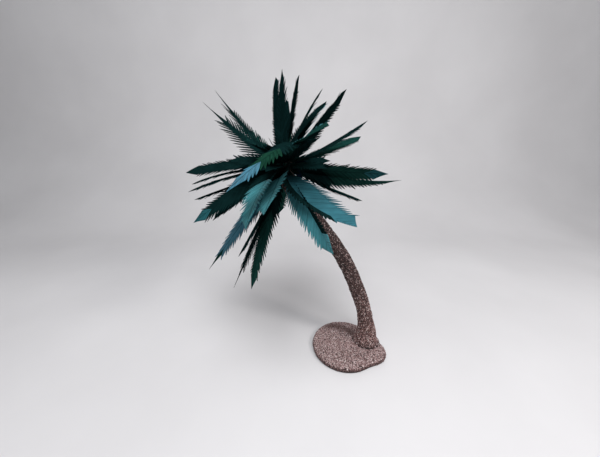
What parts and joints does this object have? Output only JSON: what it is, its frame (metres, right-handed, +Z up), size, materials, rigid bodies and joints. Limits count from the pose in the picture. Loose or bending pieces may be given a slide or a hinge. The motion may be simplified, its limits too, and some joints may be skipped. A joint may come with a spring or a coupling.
{
  "type": "artificial palm tree on a foot plate",
  "caption": "Small decorative palm: a leaning granule-coated trunk on a flat lobed foot plate, with satin feather-shaped fronds spreading all round from its head.",
  "frame": {"origin": "on the underside of the foot plate, at the centre of its round disc", "axes": "+Z up, the trunk leans towards -X and the lobe of the foot plate with the trunk's foot lies towards +X, +Y points away from the pictured side"},
  "size_m": [0.3635, 0.3138, 0.5047],
  "materials": {
    "plate_granules": "rough coat of small brown, beige and dark granules bound with glue",
    "trunk_granules": "rough coat of small brown, beige and dark granules over a carved core",
    "leaf_sheet": "satin green-blue sheet, cut into leaflets"
  },
  "bodies": {
    "root": {"foot_plate": "plate_granules", "trunk": "trunk_granules", "frond_01": "leaf_sheet", "frond_02": "leaf_sheet", "frond_03": "leaf_sheet", "frond_04": "leaf_sheet", "frond_05": "leaf_sheet", "frond_06": "leaf_sheet", "frond_07": "leaf_sheet", "frond_08": "leaf_sheet", "frond_09": "leaf_sheet", "frond_10": "leaf_sheet", "frond_11": "leaf_sheet", "frond_12": "leaf_sheet", "frond_13": "leaf_sheet", "frond_14": "leaf_sheet", "frond_15": "leaf_sheet", "frond_16": "leaf_sheet", "frond_17": "leaf_sheet", "frond_18": "leaf_sheet", "frond_19": "leaf_sheet", "frond_20": "leaf_sheet", "frond_21": "leaf_sheet", "frond_22": "leaf_sheet", "frond_23": "leaf_sheet", "frond_24": "leaf_sheet", "frond_25_fall": "leaf_sheet", "frond_25_rise": "leaf_sheet", "frond_26": "leaf_sheet", "frond_27": "leaf_sheet", "frond_28": "leaf_sheet", "frond_29": "leaf_sheet", "frond_30": "leaf_sheet", "frond_31": "leaf_sheet", "frond_32": "leaf_sheet", "frond_33": "leaf_sheet", "frond_34": "leaf_sheet", "frond_35": "leaf_sheet", "frond_36": "leaf_sheet", "frond_37": "leaf_sheet", "frond_38": "leaf_sheet", "frond_39": "leaf_sheet", "frond_40": "leaf_sheet", "frond_41": "leaf_sheet", "frond_42": "leaf_sheet", "frond_43": "leaf_sheet", "frond_44": "leaf_sheet", "frond_45": "leaf_sheet", "frond_46": "leaf_sheet", "frond_47": "leaf_sheet", "frond_48": "leaf_sheet"}
  },
  "joints": []
}
